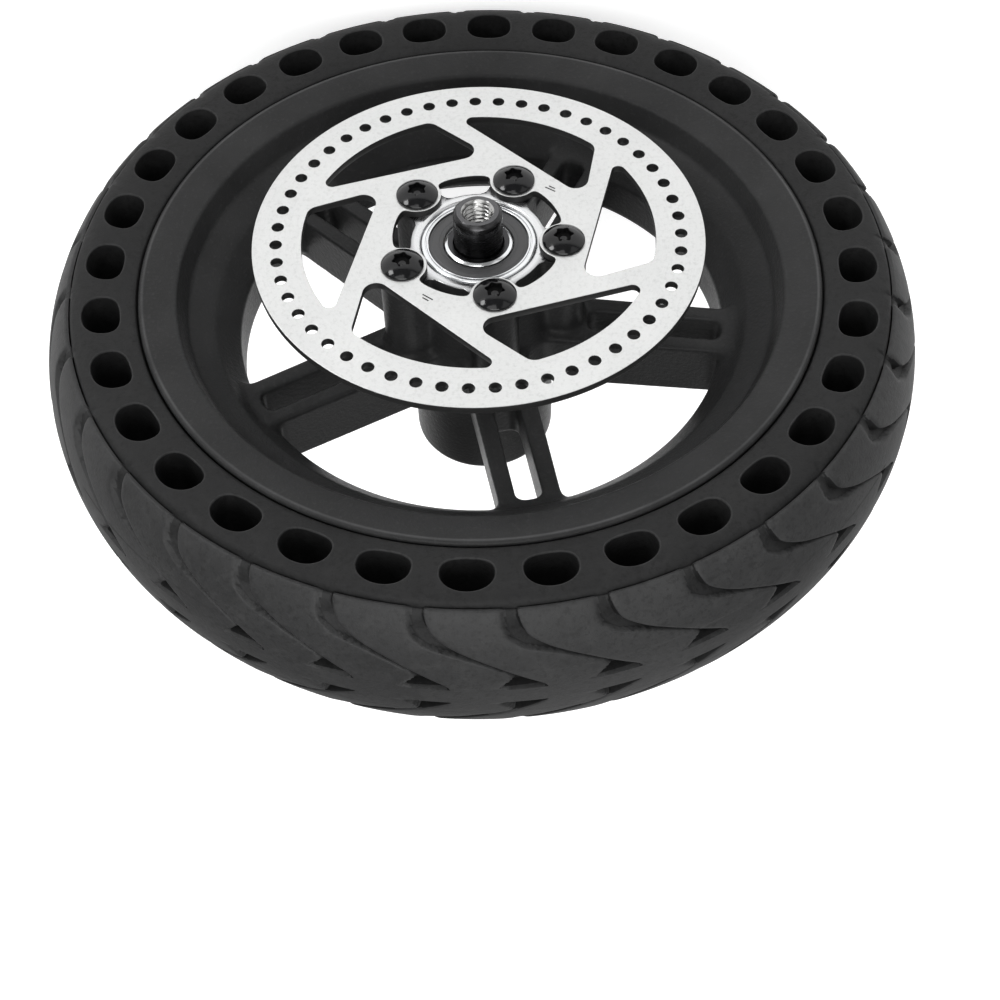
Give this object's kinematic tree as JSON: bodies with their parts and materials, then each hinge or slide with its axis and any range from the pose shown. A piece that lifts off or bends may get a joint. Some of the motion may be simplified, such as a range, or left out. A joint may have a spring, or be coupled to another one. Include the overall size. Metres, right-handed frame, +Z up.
{
  "type": "scooter rear wheel",
  "caption": "Passive wheel for an electric kick scooter: cast spoked rim, solid honeycomb tyre, drilled brake disc, sealed hub bearings and a tapped through axle.",
  "frame": {"origin": "the wheel's centre: on the spin axis, in the tyre's middle plane, half way along the axle", "axes": "Y along the axle with the brake disc facing -Y, +Z up with the wheel standing upright, X along the rolling direction"},
  "size_m": [0.22, 0.082, 0.22],
  "materials": {
    "tyre_rubber": "matte charcoal rubber",
    "rim_black": "black powder coat over cast aluminium, hub face turned bare",
    "disc_steel": "fine brushed stainless steel",
    "screw_black": "glossy black oxide",
    "bearing_steel": "ground bearing steel",
    "seal_rubber": "matte black rubber",
    "cage_steel": "pressed steel",
    "ball_steel": "polished bearing steel",
    "spacer_alloy": "turned aluminium",
    "axle_steel": "dark oxide steel with bright thread"
  },
  "bodies": {
    "axle": {"axle": "axle_steel", "bearing_spacer": "spacer_alloy", "inner_race_disc_side": "bearing_steel", "inner_race_far_side": "bearing_steel"},
    "wheel": {"tyre": "tyre_rubber", "rim": "rim_black", "brake_disc": "disc_steel", "disc_screw_1": "screw_black", "disc_screw_2": "screw_black", "disc_screw_3": "screw_black", "disc_screw_4": "screw_black", "disc_screw_5": "screw_black", "outer_race_disc_side": "bearing_steel", "outer_seal_disc_side": "seal_rubber", "inner_seal_disc_side": "seal_rubber", "outer_race_far_side": "bearing_steel", "outer_seal_far_side": "seal_rubber", "inner_seal_far_side": "seal_rubber"},
    "cage_disc_side": {"ball_cage_disc_side": "cage_steel", "ball_1_disc_side": "ball_steel", "ball_2_disc_side": "ball_steel", "ball_3_disc_side": "ball_steel", "ball_4_disc_side": "ball_steel", "ball_5_disc_side": "ball_steel", "ball_6_disc_side": "ball_steel", "ball_7_disc_side": "ball_steel", "ball_8_disc_side": "ball_steel"},
    "cage_far_side": {"ball_cage_far_side": "cage_steel", "ball_1_far_side": "ball_steel", "ball_2_far_side": "ball_steel", "ball_3_far_side": "ball_steel", "ball_4_far_side": "ball_steel", "ball_5_far_side": "ball_steel", "ball_6_far_side": "ball_steel", "ball_7_far_side": "ball_steel", "ball_8_far_side": "ball_steel"}
  },
  "joints": [
    {"name": "wheel_spin", "type": "hinge", "parent": "axle", "child": "wheel", "pos_m": [0, 0, 0], "axis": [0, 1, 0], "continuous": true},
    {"name": "cage_spin_disc_side", "type": "hinge", "parent": "axle", "child": "cage_disc_side", "pos_m": [0, -0.027, 0], "axis": [0, 1, 0], "continuous": true},
    {"name": "cage_spin_far_side", "type": "hinge", "parent": "axle", "child": "cage_far_side", "pos_m": [0, 0.032, 0], "axis": [0, 1, 0], "continuous": true}
  ],
  "couplings": [
    {"joint": "cage_spin_disc_side", "follows": "wheel_spin", "ratio": 0.619},
    {"joint": "cage_spin_far_side", "follows": "wheel_spin", "ratio": 0.619}
  ]
}
